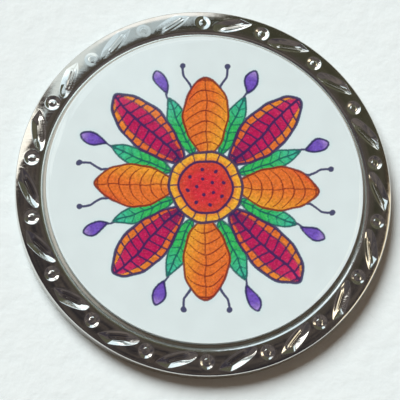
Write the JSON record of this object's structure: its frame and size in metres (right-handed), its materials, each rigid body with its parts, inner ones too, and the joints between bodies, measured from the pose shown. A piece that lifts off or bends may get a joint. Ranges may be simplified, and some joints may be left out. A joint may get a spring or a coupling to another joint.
{
  "type": "golf ball marker",
  "caption": "Round coin-shaped golf ball marker: a plated steel coin with a leaf-and-bead rim, holding a printed disc under a clear domed cover.",
  "frame": {"origin": "centre of the back, on the plane that the coin lies on", "axes": "+Z is the coin's axis, out of the face with the picture; +Y points to the top of the picture; +X is to the right"},
  "size_m": [0.0254, 0.0254, 0.0028],
  "materials": {
    "plated_steel": "polished bright nickel plating on struck steel, with fine handling scratches",
    "adhesive": "thin milky layer of pressure-sensitive acrylic adhesive",
    "printed_plastic": "white plastic disc, printed in colour on its face",
    "clear_resin": "clear cast resin with a smooth glossy domed face"
  },
  "bodies": {
    "root": {"coin_body": "plated_steel", "disc_adhesive": "adhesive", "printed_disc": "printed_plastic", "clear_dome": "clear_resin"}
  },
  "joints": []
}
